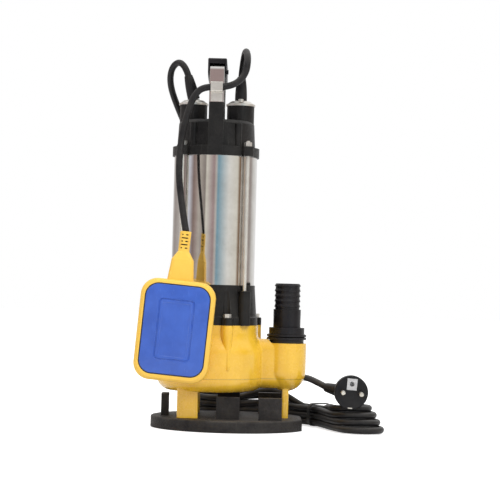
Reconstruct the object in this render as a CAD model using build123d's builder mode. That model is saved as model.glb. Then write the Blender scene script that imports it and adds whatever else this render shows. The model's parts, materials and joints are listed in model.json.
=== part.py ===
from build123d import *
from math import cos, pi, radians, sin, tan
import os

# Submersible drain pump with a tethered float switch. Sizes are millimetres.
# The origin is the motor axis on the underside of the base, +Z is up, +X points
# to the outlet, and the float hangs on the -Y side.

os.makedirs("parts", exist_ok=True)

# ---------------------------------------------------------------- driving sizes
fit = 0.05                  # radial clearance of a piece that is pressed or screwed in
running_gap = 0.06          # radial clearance of a bearing surface
air_gap = 0.4               # between bodies that move past each other

base_thickness = 12.0
base_half_length = 82.0     # the oval's half size along X
base_half_width = 74.0
base_centre_x = 20.0
base_cut_x = 98.0           # straight end of the oval, under the outlet
base_edge_fillet = 2.0
guard_height = 23.0         # upright plates that keep stones away from the inlet
guard_width = 24.0
guard_thickness = 7.5

leg_height = 27.0
volute_height = 70.0
volute_radius = 56.5
volute_corner = 14.0
volute_top_radius = 49.5
volute_wall = 9.0
inlet_radius = 19.0
outlet_x = 80.0
outlet_radius = 21.2
outlet_height = 52.0        # from the volute's bottom to the outlet's seat
outlet_bore = 15.1
ridge_radius = 21.0         # sealing ridges of the hose tail

housing_height = 42.0
motor_radius = 44.0
shell_wall = 1.0
shell_length = 135.0
spigot_length = 7.0

cap_flange_height = 10.0
cap_body_height = 28.0
gland_boss_height = 17.0
gland_boss_radius = 14.5
gland_x = 25.0

tie_rod_radius = 2.0
bolt_radius = 2.5
bolt_head_width = 7.4       # across the flats
bolt_head_height = 4.0

handle_width = 15.5
handle_rise = 40.0
handle_steel = 2.5
handle_bend = 7.0
grip_width = 19.6

cord_radius = 3.5

float_width = 76.0
float_height = 103.0
float_depth = 34.0
float_corner = 17.0
float_wall = 3.5
float_lean = 4.8            # degrees, bottom towards -X
float_centre = (-35.5, -76.0, 103.5)

# -------------------------------------------------------------- derived heights
volute_bottom = base_thickness + leg_height
volute_top = volute_bottom + volute_height
outlet_top = volute_bottom + outlet_height
shell_bottom = volute_top + housing_height
shell_top = shell_bottom + shell_length
cap_flange_top = shell_top + cap_flange_height
cap_shoulder = cap_flange_top + cap_body_height
boss_top = cap_shoulder + gland_boss_height

shell_bore = motor_radius - shell_wall
tie_circle = motor_radius + tie_rod_radius + 2
bolt_circle = motor_radius + 5.5
tie_angles = [45, 135, 225, 315]
bolt_angles = [20, 110, 200, 290]
pieces = {}


def around(circle, angles, height=0):
    # Places evenly named angles on a circle about the motor axis.
    return [(circle * cos(radians(a)), circle * sin(radians(a)), height) for a in angles]


def flat(points):
    return [(x, y) for x, y, _ in points]


def ring(label, outer, bore, bottom, top, centre=(0, 0)):
    with BuildPart() as piece:
        with BuildSketch(Plane.XY.offset(bottom)):
            with Locations(centre):
                Circle(outer)
                if bore:
                    Circle(bore, mode=Mode.SUBTRACT)
        extrude(amount=top - bottom)
    pieces[label] = piece
    return piece


# ------------------------------------------------------------------- base plate
guard_y = 45.0
front_guard_x = [20.0, 64.0]
left_guard_x = -47.0
leg_spread = 37.0
left_leg_x = -22.0
leg_positions = [(left_leg_x, -leg_spread), (left_leg_x, leg_spread), (outlet_x, 0)]
leg_screw_radius = 2.5
leg_screw_length = 20.0
leg_screw_head = 4.6
leg_screw_head_height = 4.0

with BuildPart() as base_plate:
    with BuildSketch():
        with Locations((base_centre_x, 0)):
            Ellipse(base_half_length, base_half_width)
        with Locations((base_cut_x, 0)):
            Rectangle(base_half_length, 2 * base_half_width, align=(Align.MIN, Align.CENTER),
                      mode=Mode.SUBTRACT)
    extrude(amount=base_thickness)
    fillet(base_plate.faces().sort_by(Axis.Z)[-1].edges(), base_edge_fillet)
    with BuildSketch(Plane.XY.offset(base_thickness)):
        with Locations([(x, side * guard_y) for x in front_guard_x for side in (-1, 1)]):
            Rectangle(guard_width, guard_thickness)
        with Locations((left_guard_x, 0)):
            Rectangle(guard_thickness, guard_width)
    extrude(amount=guard_height)
    with BuildSketch():
        with Locations(leg_positions):
            Circle(leg_screw_radius + fit)
    extrude(amount=base_thickness, mode=Mode.SUBTRACT)
    with BuildSketch():
        with Locations(leg_positions):
            Circle(leg_screw_head + fit)
    extrude(amount=leg_screw_head_height + 1, mode=Mode.SUBTRACT)
pieces["base_plate"] = base_plate

with BuildPart() as leg_screws:
    with BuildSketch(Plane.XY.offset(1)):
        with Locations(leg_positions):
            Circle(leg_screw_head)
    extrude(amount=leg_screw_head_height)
    with BuildSketch(Plane.XY.offset(1)):
        with Locations(leg_positions):
            Circle(leg_screw_radius)
    extrude(amount=leg_screw_length)
pieces["leg_screws"] = leg_screws

# ----------------------------------------------------------------------- volute
leg_width = 22.0
leg_depth = 10.0
outlet_leg_thickness = 7.0
ear_radius = 6.5
ear_height = 9.0
spigot_radius = motor_radius - 4
chamber_radius = volute_radius - volute_wall
chamber_bottom = volute_bottom + 7
chamber_top = volute_top - 11
bolt_depth = 10.0
neck_width = 34.0
neck_corner = 11.0
neck_fillet = 3.0
neck_bottom = volute_bottom + 4
neck_top = volute_top - 14
duct_radius = 12.0
duct_z = volute_bottom + 27
rib_bottom = volute_bottom + 24
rib_foot_radius = 2.0

with BuildPart() as volute:
    with BuildSketch(Plane.XZ):
        with BuildLine():
            Line((0, volute_bottom), (volute_radius - volute_corner, volute_bottom))
            JernArc((volute_radius - volute_corner, volute_bottom), (1, 0), volute_corner, 90)
            Line((volute_radius, volute_bottom + volute_corner), (volute_radius, volute_top - 30))
            Spline((volute_radius, volute_top - 30), (volute_top_radius, volute_top - 8),
                   tangents=[(0, 1), (0, 1)])
            Polyline((volute_top_radius, volute_top - 8), (volute_top_radius, volute_top),
                     (0, volute_top), (0, volute_bottom))
        make_face()
    revolve(axis=Axis.Z)
    # The neck carries the flow sideways into the outlet.
    with BuildSketch(Plane.YZ.offset(volute_top_radius / 2)):
        with Locations((0, (neck_bottom + neck_top) / 2)):
            RectangleRounded(neck_width, neck_top - neck_bottom, neck_corner)
    extrude(amount=outlet_x - volute_top_radius / 2)
    # The outlet is an upright cylinder with a round bottom.
    with BuildSketch(Plane.XZ):
        with BuildLine():
            centre_z = volute_bottom + 1 + outlet_radius
            Line((outlet_x, volute_bottom + 1), (outlet_x, outlet_top))
            Line((outlet_x, outlet_top), (outlet_x + outlet_radius, outlet_top))
            Line((outlet_x + outlet_radius, outlet_top), (outlet_x + outlet_radius, centre_z))
            JernArc((outlet_x + outlet_radius, centre_z), (0, -1), outlet_radius, -90)
        make_face()
    revolve(axis=Axis((outlet_x, 0, 0), (0, 0, 1)))
    seams = volute.edges().filter_by(lambda e: e.geom_type != GeomType.LINE
                                     and volute_top_radius * 0.6 < e.center().X < outlet_x
                                     and neck_bottom < e.center().Z < neck_top + 1)
    fillet(seams, neck_fillet)
    # The seat of the hose tail is open all round.
    with BuildSketch(Plane.XY.offset(outlet_top)):
        with Locations((outlet_x, 0)):
            Circle(ridge_radius + 0.6)
    extrude(amount=neck_top - outlet_top + 1, mode=Mode.SUBTRACT)
    with BuildSketch(Plane.XY.offset(volute_top - ear_height)):
        with Locations(flat(around(bolt_circle, bolt_angles))):
            Circle(ear_radius)
    extrude(amount=ear_height)
    with BuildSketch(Plane.XY.offset(base_thickness)):
        with Locations(leg_positions[:2]):
            RectangleRounded(leg_width, leg_depth, 2)
    extrude(amount=leg_height + volute_corner)
    with BuildSketch(Plane.XY.offset(base_thickness)):
        with Locations(leg_positions[2]):
            RectangleRounded(outlet_leg_thickness, leg_width, 2)
    extrude(amount=leg_height + volute_corner)
    # Below each bolt a rib runs down and fades into the wall.
    for angle in bolt_angles:
        with BuildSketch(Plane(around(volute_radius - 0.8, [angle], rib_bottom)[0])):
            Circle(rib_foot_radius)
        with BuildSketch(Plane(around(bolt_circle, [angle], volute_top - ear_height)[0])):
            Circle(ear_radius)
        loft()
    # Pump chamber, top bore, inlet, duct and outlet.
    with BuildSketch(Plane.XY.offset(chamber_bottom)):
        Circle(chamber_radius)
    extrude(amount=chamber_top - chamber_bottom, mode=Mode.SUBTRACT)
    with BuildSketch(Plane.XY.offset(chamber_bottom)):
        Circle(spigot_radius + fit)
    extrude(amount=volute_top - chamber_bottom, mode=Mode.SUBTRACT)
    with BuildSketch(Plane.XY.offset(base_thickness)):
        Circle(inlet_radius)
    extrude(amount=chamber_bottom - base_thickness, mode=Mode.SUBTRACT)
    with BuildSketch(Plane.YZ):
        with Locations((0, duct_z)):
            Circle(duct_radius)
    extrude(amount=outlet_x, mode=Mode.SUBTRACT)
    with BuildSketch(Plane.XY.offset(duct_z - duct_radius)):
        with Locations((outlet_x, 0)):
            Circle(outlet_bore)
    extrude(amount=outlet_top - duct_z + duct_radius, mode=Mode.SUBTRACT)
    with BuildSketch(Plane.XY.offset(volute_top - bolt_depth)):
        with Locations(flat(around(bolt_circle, bolt_angles))):
            Circle(bolt_radius + fit)
    extrude(amount=bolt_depth, mode=Mode.SUBTRACT)
    with BuildSketch(Plane.XY.offset(base_thickness)):
        with Locations(leg_positions):
            Circle(leg_screw_radius + fit)
    extrude(amount=leg_screw_length + 1 - base_thickness, mode=Mode.SUBTRACT)
pieces["volute"] = volute

# -------------------------------------------------------------------- hose tail
gasket_thickness = 2.0
tail_bore = 11.0
tail_bottom = outlet_top - 18
neck_radius = 18.3
collar_radius = 18.8
hose_radius = 14.5
hose_length = 19.2
barb_root = 12.9
barb_radius = 13.7
barb_count = 5
barb_pitch = 5.5

ring("hose_tail_gasket", neck_radius, outlet_bore + fit, outlet_top,
     outlet_top + gasket_thickness, (outlet_x, 0))

neck_z = outlet_top + gasket_thickness
collar_z = neck_z + 8.0
hose_z = neck_z + 14.4
barb_z = hose_z + hose_length
tail_outline = [(tail_bore, tail_bottom), (outlet_bore - fit, tail_bottom),
                (outlet_bore - fit, neck_z), (neck_radius, neck_z), (neck_radius, neck_z + 1.6)]
for ridge in range(2):
    ridge_z = neck_z + 1.6 + 3.2 * ridge
    tail_outline += [(ridge_radius, ridge_z + 0.3), (ridge_radius, ridge_z + 2.3),
                     (collar_radius, ridge_z + 2.9)]
tail_outline += [(collar_radius, hose_z), (hose_radius, hose_z), (hose_radius, barb_z)]
for barb in range(barb_count):
    foot = barb_z + barb_pitch * barb
    tail_outline += [(barb_root, foot + 0.2), (barb_root, foot + 2.4), (barb_radius, foot + 2.6),
                     (barb_radius, foot + 3.6)]
tail_top = barb_z + barb_pitch * barb_count
tail_outline += [(barb_root - 0.6, tail_top), (tail_bore, tail_top)]

with BuildPart() as hose_tail:
    with BuildSketch(Plane.XZ):
        with BuildLine():
            Polyline(*[(outlet_x + r, z) for r, z in tail_outline], close=True)
        make_face()
    revolve(axis=Axis((outlet_x, 0, 0), (0, 0, 1)))
pieces["hose_tail"] = hose_tail

# ------------------------------------------------- seal housing and motor shell
housing_flange = 8.0
housing_radius = motor_radius + 4.5
housing_top_radius = motor_radius + 1.0
spigot_bottom = volute_top - 13
seal_seat_radius = 13.0
oil_radius = motor_radius - 10
oil_bottom = spigot_bottom + 6
oil_top = shell_bottom - 23
lower_bearing_bottom = oil_top + 4
lower_bearing = {"bore": 7.5, "outer": 17.5, "width": 11.0}
upper_bearing = {"bore": 6.0, "outer": 16.0, "width": 10.0}
tie_boss_radius = 6.8
tie_boss_top = shell_bottom - 6
tie_thread = 12.0
groove_depth = 2.4
groove_height = 3.0

with BuildPart() as seal_housing:
    with BuildSketch(Plane.XZ):
        with BuildLine():
            Polyline((0, spigot_bottom), (spigot_radius, spigot_bottom), (spigot_radius, volute_top),
                     (housing_radius, volute_top), (housing_radius, volute_top + housing_flange),
                     (housing_radius - 1.2, volute_top + housing_flange + 1.2),
                     (housing_top_radius, shell_bottom - 3), (housing_top_radius, shell_bottom),
                     (shell_bore - fit, shell_bottom),
                     (shell_bore - fit, shell_bottom + spigot_length),
                     (0, shell_bottom + spigot_length), close=True)
        make_face()
    revolve(axis=Axis.Z)
    with BuildSketch(Plane.XY.offset(volute_top)):
        with Locations(flat(around(bolt_circle, bolt_angles))):
            Circle(ear_radius)
    extrude(amount=housing_flange)
    with BuildSketch(Plane.XY.offset(volute_top)):
        with Locations(flat(around(tie_circle, tie_angles))):
            Circle(tie_boss_radius)
    extrude(amount=tie_boss_top - volute_top)
    # From the bottom: seal seat, oil chamber, wall, bearing seat and open recess.
    with BuildSketch(Plane.XZ):
        with BuildLine():
            bearing_top = lower_bearing_bottom + lower_bearing["width"]
            Polyline((0, spigot_bottom), (seal_seat_radius + fit, spigot_bottom),
                     (seal_seat_radius + fit, oil_bottom), (oil_radius, oil_bottom),
                     (oil_radius, oil_top), (lower_bearing["outer"] - 3, oil_top),
                     (lower_bearing["outer"] - 3, lower_bearing_bottom),
                     (lower_bearing["outer"] + fit, lower_bearing_bottom),
                     (lower_bearing["outer"] + fit, bearing_top),
                     (oil_radius, bearing_top + 4), (oil_radius, shell_bottom + spigot_length),
                     (0, shell_bottom + spigot_length), close=True)
        make_face()
    revolve(axis=Axis.Z, mode=Mode.SUBTRACT)
    with BuildSketch(Plane.XY.offset(tie_boss_top - tie_thread)):
        with Locations(flat(around(tie_circle, tie_angles))):
            Circle(tie_rod_radius + fit)
    extrude(amount=tie_thread, mode=Mode.SUBTRACT)
    with BuildSketch(Plane.XY.offset(volute_top)):
        with Locations(flat(around(bolt_circle, bolt_angles))):
            Circle(bolt_radius + fit)
    extrude(amount=housing_flange, mode=Mode.SUBTRACT)
    # Room for the bolt heads beside the tapering wall.
    with BuildSketch(Plane.XY.offset(volute_top + housing_flange)):
        with Locations(flat(around(bolt_circle, bolt_angles))):
            Circle(bolt_head_width / 2 + 1.2)
    extrude(amount=tie_boss_top - volute_top - housing_flange, mode=Mode.SUBTRACT)
    # Grooves for the two O-rings.
    for groove_z, groove_r in ((volute_top - 8, spigot_radius), (shell_bottom + 2, shell_bore)):
        with BuildSketch(Plane.XY.offset(groove_z)):
            Circle(groove_r + 1)
            Circle(groove_r - groove_depth, mode=Mode.SUBTRACT)
        extrude(amount=groove_height, mode=Mode.SUBTRACT)
pieces["seal_housing"] = seal_housing

ring("volute_o_ring", spigot_radius + fit, spigot_radius - groove_depth, volute_top - 8,
     volute_top - 8 + groove_height)
ring("lower_shell_o_ring", shell_bore, shell_bore - groove_depth, shell_bottom + 2,
     shell_bottom + 2 + groove_height)
ring("motor_shell", motor_radius, shell_bore, shell_bottom, shell_top)

with BuildPart() as volute_bolts:
    bolt_heads = flat(around(bolt_circle, bolt_angles))
    with BuildSketch(Plane.XY.offset(volute_top + housing_flange)):
        with Locations(bolt_heads):
            RegularPolygon(bolt_head_width / 2, 6, major_radius=False)
    extrude(amount=bolt_head_height)
    with BuildSketch(Plane.XY.offset(volute_top - bolt_depth)):
        with Locations(bolt_heads):
            Circle(bolt_radius)
    extrude(amount=bolt_depth + housing_flange)
pieces["volute_bolts"] = volute_bolts

# ------------------------------------------- shaft, seal, impeller and bearings
shaft_bottom = chamber_bottom + 9
impeller_bottom = chamber_bottom + 16
impeller_plate_z = impeller_bottom + 18
impeller_hub_top = impeller_plate_z + 9
impeller_radius = chamber_radius - 11
impeller_bore = 5.0
vane_count = 6
seal_shaft = 6.0
core_shaft = 9.0
bracket_bottom = shell_top - 20
bracket_top = shell_top - spigot_length
upper_bearing_bottom = bracket_bottom + 2
shaft_top = upper_bearing_bottom + upper_bearing["width"]

with BuildPart() as shaft:
    with BuildSketch(Plane.XZ):
        with BuildLine():
            Polyline((0, shaft_bottom), (4, shaft_bottom), (4, impeller_bottom),
                     (impeller_bore, impeller_bottom), (impeller_bore, impeller_hub_top),
                     (seal_shaft, impeller_hub_top), (seal_shaft, oil_top),
                     (lower_bearing["bore"], oil_top),
                     (lower_bearing["bore"], lower_bearing_bottom + lower_bearing["width"]),
                     (core_shaft, lower_bearing_bottom + lower_bearing["width"]),
                     (core_shaft, upper_bearing_bottom), (upper_bearing["bore"], upper_bearing_bottom),
                     (upper_bearing["bore"], shaft_top), (0, shaft_top), close=True)
        make_face()
    revolve(axis=Axis.Z)
pieces["shaft"] = shaft

with BuildPart() as impeller:
    with BuildSketch(Plane.XY.offset(impeller_bottom)):
        Circle(9)
    extrude(amount=impeller_hub_top - impeller_bottom)
    with BuildSketch(Plane.XY.offset(impeller_plate_z)):
        Circle(impeller_radius)
    extrude(amount=3)
    with BuildSketch(Plane.XY.offset(impeller_bottom + 4)):
        with PolarLocations(impeller_radius / 2 + 3, vane_count):
            Rectangle(impeller_radius - 7, 2.6, rotation=24)
    extrude(amount=impeller_plate_z - impeller_bottom - 4)
    with BuildSketch(Plane.XY.offset(impeller_bottom)):
        Circle(impeller_bore + fit)
    extrude(amount=impeller_hub_top - impeller_bottom, mode=Mode.SUBTRACT)
pieces["impeller"] = impeller

with BuildPart() as impeller_nut:
    with BuildSketch(Plane.XY.offset(impeller_bottom - 6.5)):
        RegularPolygon(6.5, 6, major_radius=False)
        Circle(4 + fit, mode=Mode.SUBTRACT)
    extrude(amount=6.5)
pieces["impeller_nut"] = impeller_nut

seal_face_z = oil_bottom + 1
ring("seal_seat", seal_seat_radius, seal_shaft + 1, spigot_bottom + 1, seal_face_z)
ring("seal_head", 11.5, seal_shaft + fit, seal_face_z + 0.05, seal_face_z + 8)

spring_wire = 0.8
spring_radius = 9.0
spring_turns = 3
spring_top = oil_top - 3
spring_bottom = seal_face_z + 8 + spring_wire + 0.1
with BuildPart() as seal_spring:
    with BuildLine(Plane.XY.offset(spring_bottom)) as coil:
        Helix(pitch=(spring_top - spring_bottom - spring_wire) / spring_turns,
              height=spring_top - spring_bottom - spring_wire, radius=spring_radius)
    with BuildSketch(Plane(coil.line @ 0, z_dir=coil.line % 0)):
        Circle(spring_wire)
    sweep(path=coil.line)
pieces["seal_spring"] = seal_spring
ring("seal_collar", 10.5, seal_shaft + fit, spring_top, oil_top - 1)

race_wall = 2.6
ball_gap = 0.04


def ball_bearing(label, size, bottom, balls):
    # Inner race, outer race and loose balls of one bearing.
    middle = bottom + size["width"] / 2
    pitch = (size["bore"] + size["outer"]) / 2
    ball = (size["outer"] - size["bore"]) / 2 - race_wall + 0.8
    for part_label, inner, outer in (("inner", size["bore"] + fit, size["bore"] + race_wall),
                                     ("outer", size["outer"] - race_wall, size["outer"])):
        with BuildPart() as race:
            with BuildSketch(Plane.XY.offset(bottom)):
                Circle(outer)
                Circle(inner, mode=Mode.SUBTRACT)
            extrude(amount=size["width"])
            with BuildSketch(Plane.XZ):
                with Locations((pitch, middle)):
                    Circle(ball + ball_gap)
            revolve(axis=Axis.Z, mode=Mode.SUBTRACT)
        pieces[f"{label}_{part_label}"] = race
    with BuildPart() as ball_set:
        with Locations(around(pitch, [360 / balls * n for n in range(balls)], middle)):
            Sphere(ball)
    pieces[f"{label}_balls"] = ball_set


ball_bearing("lower_bearing", lower_bearing, lower_bearing_bottom, 8)
ball_bearing("upper_bearing", upper_bearing, upper_bearing_bottom, 8)

with BuildPart() as upper_bracket:
    with BuildSketch(Plane.XY.offset(bracket_bottom)):
        Circle(shell_bore - fit)
        Circle(upper_bearing["outer"] - 4, mode=Mode.SUBTRACT)
    extrude(amount=bracket_top - bracket_bottom)
    with BuildSketch(Plane.XY.offset(upper_bearing_bottom)):
        Circle(upper_bearing["outer"] + fit)
    extrude(amount=bracket_top - upper_bearing_bottom, mode=Mode.SUBTRACT)
pieces["upper_bracket"] = upper_bracket

# ---------------------------------------------------------------- electric motor
rotor_radius = motor_radius / 2
winding_height = 14.0
core_bottom = shell_bottom + spigot_length + 5 + winding_height
core_top = bracket_bottom - 6 - winding_height
slot_count = 24

ring("rotor_core", rotor_radius, core_shaft + fit, core_bottom, core_top)

with BuildPart() as stator_core:
    with BuildSketch(Plane.XY.offset(core_bottom)):
        Circle(shell_bore - fit)
        Circle(rotor_radius + air_gap, mode=Mode.SUBTRACT)
        with PolarLocations(rotor_radius + 8, slot_count):
            SlotOverall(11, 3.2, mode=Mode.SUBTRACT)
    extrude(amount=core_top - core_bottom)
pieces["stator_core"] = stator_core

with BuildPart() as stator_windings:
    for bottom in (core_bottom - winding_height, core_top):
        with BuildSketch(Plane.XY.offset(bottom)):
            Circle(shell_bore - 5)
            Circle(rotor_radius + 2, mode=Mode.SUBTRACT)
        extrude(amount=winding_height)
pieces["stator_windings"] = stator_windings

# ---------------------------------------------------------------------- top cap
cap_flange_radius = motor_radius + 2
cap_lower_radius = motor_radius - 2
cap_upper_radius = motor_radius - 4
lug_radius = 6.5
pilaster_front = cap_flange_radius
cavity_radius = motor_radius - 10
gland_screw_circle = 11.3
gland_screw_radius = 1.5
gland_screw_depth = 8.0
foot_screw_y = 38.0
foot_screw_radius = 2.0
foot_screw_depth = 12.0

with BuildPart() as top_cap:
    with BuildSketch(Plane.XY.offset(shell_top)):
        Circle(cap_flange_radius)
        with Locations(flat(around(tie_circle, tie_angles))):
            Circle(lug_radius)
    extrude(amount=cap_flange_height)
    with BuildSketch(Plane.XZ):
        with BuildLine():
            Polyline((0, shell_top), (cap_lower_radius, shell_top),
                     (cap_upper_radius, cap_shoulder - 3), (cap_upper_radius - 3, cap_shoulder),
                     (0, cap_shoulder), close=True)
        make_face()
    revolve(axis=Axis.Z)
    with BuildSketch(Plane.XY.offset(shell_top)):
        with Locations((-gland_x, 0), (gland_x, 0)):
            Circle(gland_boss_radius)
    extrude(amount=boss_top - shell_top)
    with BuildSketch(Plane.XY.offset(shell_top)):
        for side in (-1, 1):
            with Locations((0, side * (pilaster_front - 7))):
                Rectangle(handle_width, 14)
    extrude(amount=boss_top - shell_top)
    # Thin half-round ribs on the wall beside the front and rear posts.
    with BuildSketch(Plane.XY.offset(shell_top)):
        with Locations(flat(around(cap_lower_radius - 1.5, [-125, -55, 55, 125]))):
            Circle(4.0)
    extrude(amount=cap_shoulder - shell_top - 4)
    with BuildSketch(Plane.XY.offset(bracket_top)):
        Circle(shell_bore - fit)
    extrude(amount=spigot_length)
    with BuildSketch(Plane.XY.offset(bracket_top)):
        Circle(cavity_radius)
    extrude(amount=cap_shoulder - 5 - bracket_top, mode=Mode.SUBTRACT)
    with BuildSketch(Plane.XY.offset(shell_top)):
        with Locations((-gland_x, 0), (gland_x, 0)):
            Circle(cord_radius + 0.5)
    extrude(amount=boss_top - shell_top, mode=Mode.SUBTRACT)
    with BuildSketch(Plane.XY.offset(shell_top)):
        with Locations(flat(around(tie_circle, tie_angles))):
            Circle(tie_rod_radius + 0.3)
    extrude(amount=cap_flange_height, mode=Mode.SUBTRACT)
    with BuildSketch(Plane.XY.offset(boss_top - gland_screw_depth)):
        with Locations([(x, y) for x in (-gland_x, gland_x)
                        for y in (-gland_screw_circle, gland_screw_circle)]):
            Circle(gland_screw_radius + fit)
    extrude(amount=gland_screw_depth, mode=Mode.SUBTRACT)
    with BuildSketch(Plane.XY.offset(boss_top - foot_screw_depth)):
        with Locations((0, -foot_screw_y), (0, foot_screw_y)):
            Circle(foot_screw_radius + fit)
    extrude(amount=foot_screw_depth, mode=Mode.SUBTRACT)
    with BuildSketch(Plane.XY.offset(shell_top - 5)):
        Circle(shell_bore + 1)
        Circle(shell_bore - groove_depth, mode=Mode.SUBTRACT)
    extrude(amount=groove_height, mode=Mode.SUBTRACT)
pieces["top_cap"] = top_cap

ring("upper_shell_o_ring", shell_bore, shell_bore - groove_depth, shell_top - 5,
     shell_top - 5 + groove_height)

nut_height = 4.5
with BuildPart() as tie_rods:
    with BuildSketch(Plane.XY.offset(tie_boss_top - tie_thread)):
        with Locations(flat(around(tie_circle, tie_angles))):
            Circle(tie_rod_radius)
    extrude(amount=cap_flange_top + nut_height + 1.5 - tie_boss_top + tie_thread)
pieces["tie_rods"] = tie_rods

with BuildPart() as tie_rod_nuts:
    with BuildSketch(Plane.XY.offset(cap_flange_top)):
        for spot in flat(around(tie_circle, tie_angles)):
            with Locations(spot):
                RegularPolygon(3.6, 6, major_radius=False)
                Circle(tie_rod_radius + fit, mode=Mode.SUBTRACT)
    extrude(amount=nut_height)
pieces["tie_rod_nuts"] = tie_rod_nuts

# Starting gear in the cap: run capacitor and terminal block, standing on the bracket.
capacitor_radius = 12.0
with BuildPart() as capacitor:
    with BuildSketch(Plane.XZ.offset(-22)):
        with Locations((13, bracket_top + capacitor_radius)):
            Circle(capacitor_radius)
    extrude(amount=44)
pieces["capacitor"] = capacitor

with BuildPart() as terminal_block:
    with BuildSketch(Plane.XY.offset(bracket_top)):
        with Locations((-15, 0)):
            Rectangle(16, 36)
    extrude(amount=15)
    with BuildSketch(Plane.XY.offset(bracket_top + 15)):
        with GridLocations(8, 9, 2, 4) as grid:
            pass
        with Locations([(-15 + spot.position.X, spot.position.Y) for spot in grid.local_locations]):
            Circle(2.2)
    extrude(amount=-6, mode=Mode.SUBTRACT)
pieces["terminal_block"] = terminal_block

# -------------------------------------------------------- cable glands and boots
plate_radius = 15.5
plate_rim = 2.0
plate_height = 5.6
boot_flange_radius = 8.6
boot_flange_height = 2.0
boot_radius = 6.35
boot_tip_radius = 4.3
boot_stem = 6.5             # straight stretch inside the plate
left_boot_length = 26.0
left_boot_lean = 15.0
right_boot_length = 25.0
screw_head_radius = 2.7
screw_seat = boss_top + 3.6

with BuildPart() as gland_plates:
    for side in (-1, 1):
        with BuildSketch(Plane.XZ):
            with BuildLine():
                x = side * gland_x
                Line((x + boot_radius + fit, boss_top), (x + plate_radius, boss_top))
                Line((x + plate_radius, boss_top), (x + plate_radius, boss_top + plate_rim))
                Spline((x + plate_radius, boss_top + plate_rim),
                       (x + boot_radius + 2.5, boss_top + plate_height),
                       tangents=[(-1, 0.25), (-1, 0.15)])
                Polyline((x + boot_radius + 2.5, boss_top + plate_height),
                         (x + boot_radius + fit, boss_top + plate_height),
                         (x + boot_radius + fit, boss_top))
            make_face()
        revolve(axis=Axis((side * gland_x, 0, 0), (0, 0, 1)))
    with BuildSketch(Plane.XY.offset(boss_top)):
        with Locations((-gland_x, 0), (gland_x, 0)):
            Circle(boot_flange_radius + fit)
    extrude(amount=boot_flange_height, mode=Mode.SUBTRACT)
    screw_spots = [(x, y) for x in (-gland_x, gland_x)
                   for y in (-gland_screw_circle, gland_screw_circle)]
    with BuildSketch(Plane.XY.offset(screw_seat)):
        with Locations(screw_spots):
            Circle(screw_head_radius + 0.2)
    extrude(amount=plate_height, mode=Mode.SUBTRACT)
    with BuildSketch(Plane.XY.offset(boss_top)):
        with Locations(screw_spots):
            Circle(gland_screw_radius + fit)
    extrude(amount=plate_height, mode=Mode.SUBTRACT)
pieces["gland_plates"] = gland_plates

with BuildPart() as gland_screws:
    with BuildSketch(Plane.XY.offset(screw_seat)):
        with Locations(screw_spots):
            Circle(screw_head_radius)
    extrude(amount=3.2)
    with BuildSketch(Plane.XY.offset(boss_top - gland_screw_depth)):
        with Locations(screw_spots):
            Circle(gland_screw_radius)
    extrude(amount=gland_screw_depth + screw_seat - boss_top)
pieces["gland_screws"] = gland_screws


def cable_boot(label, x, lean, length):
    # A rubber boot: clamped flange, straight stem, then a cone that leans sideways.
    stem_top = boss_top + boot_stem
    cone = Plane((x, 0, stem_top), x_dir=(cos(radians(lean)), 0, sin(radians(lean))),
                 z_dir=(-sin(radians(lean)), 0, cos(radians(lean))))
    with BuildPart() as boot:
        with BuildSketch(Plane.XY.offset(boss_top)):
            with Locations((x, 0)):
                Circle(boot_flange_radius)
        extrude(amount=boot_flange_height)
        with BuildSketch(Plane.XY.offset(boss_top)):
            with Locations((x, 0)):
                Circle(boot_radius)
        extrude(amount=boot_stem)
        with BuildSketch(cone):
            Circle(boot_radius)
        with BuildSketch(cone.offset(length * 0.6)):
            Circle(boot_radius - 0.6)
        with BuildSketch(cone.offset(length)):
            Circle(boot_tip_radius)
        loft()
    pieces[label] = boot
    return cone.offset(length)


left_boot_tip = cable_boot("left_cable_boot", -gland_x, left_boot_lean, left_boot_length)
right_boot_tip = cable_boot("right_cable_boot", gland_x, 0, right_boot_length)

# ----------------------------------------------------------------------- handle
strap_front = cap_flange_radius
strap_top = boss_top + handle_rise
foot_length = 12.0
grip_top = strap_top + 5.6
grip_clearance = 0.1
grip_side_bottom = strap_top - 7.5
grip_belly = strap_top - 14.0


def strap_outline(outward, top, bottom):
    # Outer or inner line of the bent strap, in the Y-Z plane.
    return [(-outward, bottom), (-outward, top), (outward, top), (outward, bottom)]


with BuildPart() as handle_strap:
    with BuildSketch(Plane.YZ):
        with BuildLine():
            FilletPolyline(*strap_outline(strap_front, strap_top, boss_top), radius=handle_bend)
            FilletPolyline(*strap_outline(strap_front - handle_steel, strap_top - handle_steel,
                                          boss_top + handle_steel),
                           radius=handle_bend - handle_steel)
            for side in (-1, 1):
                Polyline((side * strap_front, boss_top),
                         (side * (strap_front - foot_length), boss_top),
                         (side * (strap_front - foot_length), boss_top + handle_steel),
                         (side * (strap_front - handle_steel), boss_top + handle_steel))
        make_face()
    extrude(amount=handle_width / 2, both=True)
    with BuildSketch(Plane.XY.offset(boss_top)):
        with Locations((0, -foot_screw_y), (0, foot_screw_y)):
            Circle(foot_screw_radius + fit)
    extrude(amount=handle_steel, mode=Mode.SUBTRACT)
    fillet(handle_strap.edges().filter_by(Axis.Z).group_by(SortBy.LENGTH)[-1], 0.6)
pieces["handle_strap"] = handle_strap

with BuildPart() as foot_screws:
    with BuildSketch(Plane.XY.offset(boss_top + handle_steel)):
        with Locations((0, -foot_screw_y), (0, foot_screw_y)):
            Circle(3.6)
    extrude(amount=2.6)
    with BuildSketch(Plane.XY.offset(boss_top - foot_screw_depth)):
        with Locations((0, -foot_screw_y), (0, foot_screw_y)):
            Circle(foot_screw_radius)
    extrude(amount=foot_screw_depth + handle_steel)
pieces["handle_screws"] = foot_screws

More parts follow.
